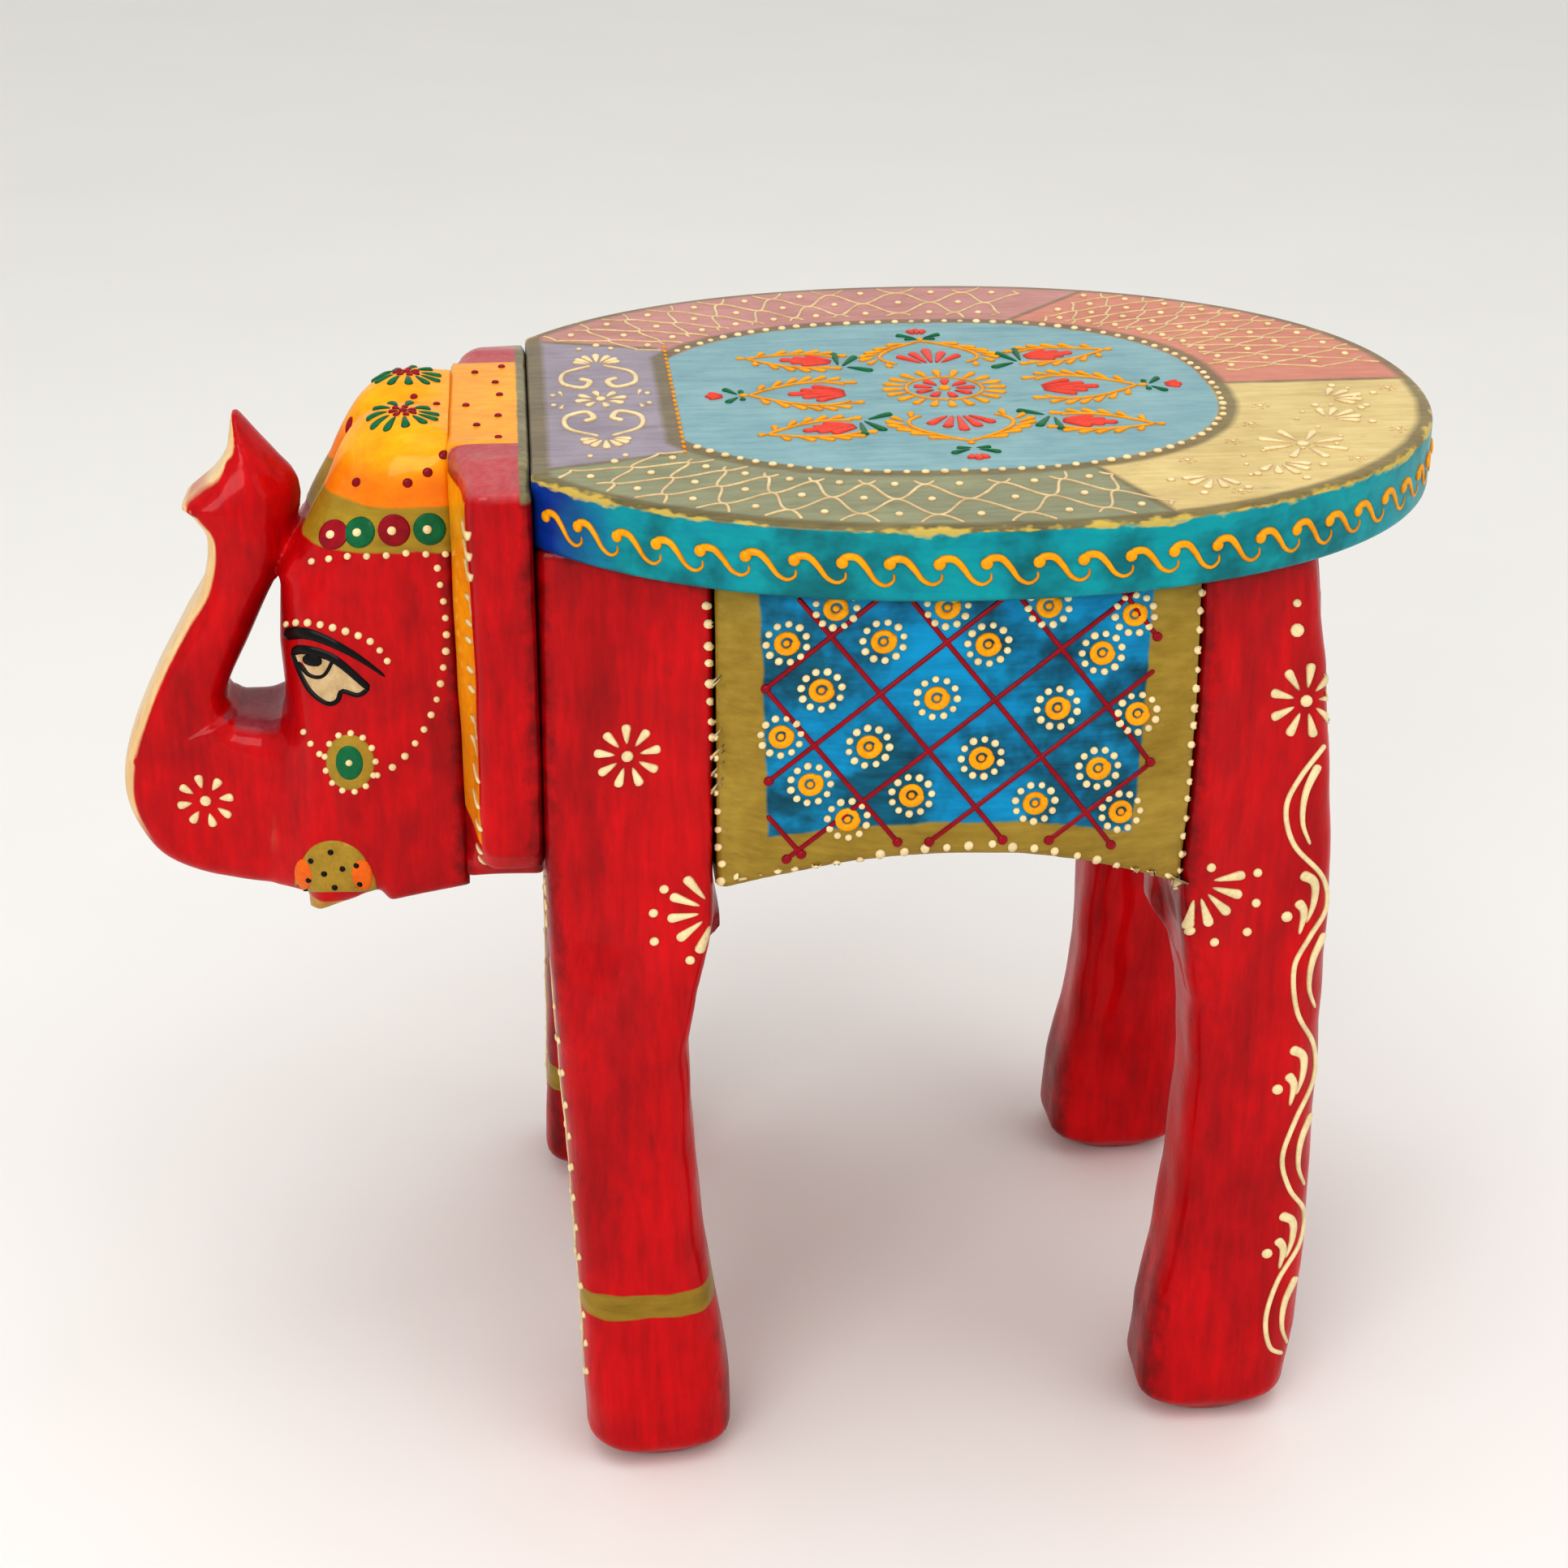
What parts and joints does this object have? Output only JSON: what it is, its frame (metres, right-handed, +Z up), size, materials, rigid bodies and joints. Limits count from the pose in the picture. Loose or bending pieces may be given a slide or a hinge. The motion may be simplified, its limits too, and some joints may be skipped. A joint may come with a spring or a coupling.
{
  "type": "painted wooden elephant stool",
  "caption": "Low carved wooden stool in the shape of an elephant: oval seat board, leg boards around a belly block, ear board, head with a raised trunk.",
  "frame": {"origin": "middle of the footprint of the whole object, on the floor under the feet", "axes": "+Z up, the elephant looks along -Y, +X is the elephant's left side"},
  "size_m": [0.2, 0.3205, 0.2536],
  "materials": {
    "seat_paint": "hand-painted panels on a wooden board, sealed with clear lacquer",
    "red_lacquer": "carved mango wood, brushed red paint with dark antiquing under glossy lacquer",
    "blanket_paint": "carved mango wood painted as a blue and gold saddle blanket, glossy lacquer",
    "bare_wood": "turned hardwood, unfinished",
    "screw_steel": "zinc-plated steel"
  },
  "bodies": {
    "root": {"seat_board": "seat_paint", "ear_board": "red_lacquer", "head_block": "red_lacquer", "belly_block": "blanket_paint", "front_leg_left": "red_lacquer", "front_leg_right": "red_lacquer", "rear_leg_left": "red_lacquer", "rear_leg_right": "red_lacquer", "seat_plugs": "bare_wood", "belly_dowels": "bare_wood", "leg_dowels": "bare_wood", "head_dowels": "bare_wood", "seat_screws": "screw_steel", "ear_board_screws": "screw_steel"}
  },
  "joints": []
}
